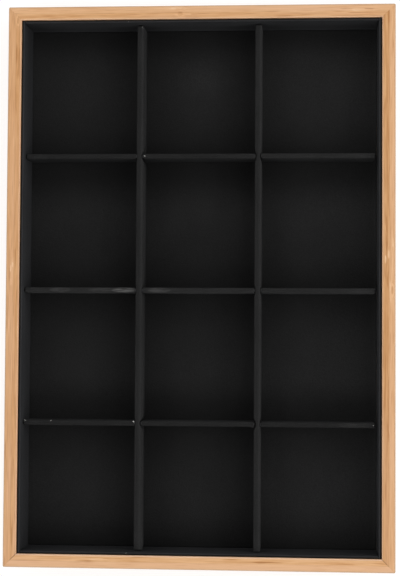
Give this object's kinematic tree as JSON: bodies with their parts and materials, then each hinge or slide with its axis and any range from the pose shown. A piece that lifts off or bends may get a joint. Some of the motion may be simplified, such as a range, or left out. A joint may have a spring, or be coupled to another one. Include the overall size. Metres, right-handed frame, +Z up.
{
  "type": "jewelry display tray",
  "caption": "Flat rectangular display tray: a mitred bamboo frame around a black velvet-lined well, divided into a grid of open compartments by loose velvet-covered dividers.",
  "frame": {"origin": "middle of the tray's underside, on the face of the felt that the tray stands on", "axes": "+X to the tray's right, +Y to its back along the long side, +Z up through the open top"},
  "size_m": [0.242, 0.35, 0.032],
  "materials": {
    "bamboo": "satin lacquered bamboo",
    "plywood": "raw thin plywood",
    "steel": "bright wire staples",
    "felt": "black pressed felt",
    "velvet": "black short-pile velvet",
    "greyboard": "grey bookbinding board",
    "core_board": "black-dyed thin fibreboard"
  },
  "bodies": {
    "tray": {"rail_left": "bamboo", "wall_board_left": "greyboard", "wall_velvet_left": "velvet", "rail_front": "bamboo", "wall_board_front": "greyboard", "wall_velvet_front": "velvet", "rail_right": "bamboo", "wall_board_right": "greyboard", "wall_velvet_right": "velvet", "rail_back": "bamboo", "wall_board_back": "greyboard", "wall_velvet_back": "velvet", "mitre_key_front_left": "bamboo", "mitre_key_front_right": "bamboo", "mitre_key_back_left": "bamboo", "mitre_key_back_right": "bamboo", "base_panel": "plywood", "base_staples": "steel", "underside_felt": "felt", "floor_board": "greyboard", "floor_velvet": "velvet"},
    "cross_dividers": {"cross_core_front": "core_board", "cross_core_middle": "core_board", "cross_core_back": "core_board", "cross_velvet_front": "velvet", "cross_velvet_middle": "velvet", "cross_velvet_back": "velvet"},
    "long_divider_left": {"long_core_left": "core_board", "long_velvet_left": "velvet"},
    "long_divider_right": {"long_core_right": "core_board", "long_velvet_right": "velvet"}
  },
  "joints": [
    {"name": "grid_lift", "type": "slide", "parent": "tray", "child": "cross_dividers", "axis": [0, 0, 1], "range_m": [0, 0.032]},
    {"name": "long_divider_left_lift", "type": "slide", "parent": "cross_dividers", "child": "long_divider_left", "axis": [0, 0, 1], "range_m": [0, 0.03]},
    {"name": "long_divider_right_lift", "type": "slide", "parent": "cross_dividers", "child": "long_divider_right", "axis": [0, 0, 1], "range_m": [0, 0.03]}
  ]
}
